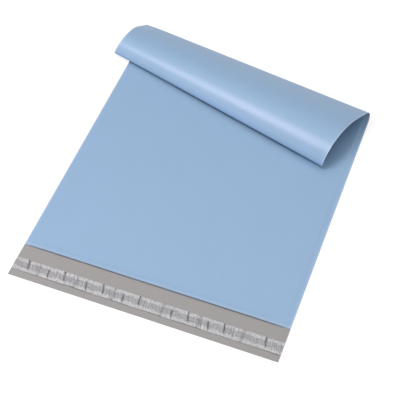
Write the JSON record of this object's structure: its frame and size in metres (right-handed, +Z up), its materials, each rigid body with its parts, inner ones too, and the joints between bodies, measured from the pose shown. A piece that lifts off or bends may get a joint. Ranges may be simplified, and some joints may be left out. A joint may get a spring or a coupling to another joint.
{
  "type": "poly mailer bag",
  "caption": "Flat plastic courier bag with an open pocket, an adhesive flap under a peel-off liner, and its bottom end rolled up over its front panel.",
  "frame": {"origin": "middle of the bag's footprint, on the surface it lies on", "axes": "+Z up, +X across the bag, +Y from the mouth to the rolled bottom end"},
  "size_m": [0.3918, 0.4954, 0.0382],
  "materials": {
    "film": "satin",
    "adhesive": "tacky",
    "liner": "satin"
  },
  "bodies": {
    "root": {"bag_film": "film", "adhesive_strip": "adhesive", "release_liner": "liner"}
  },
  "joints": []
}
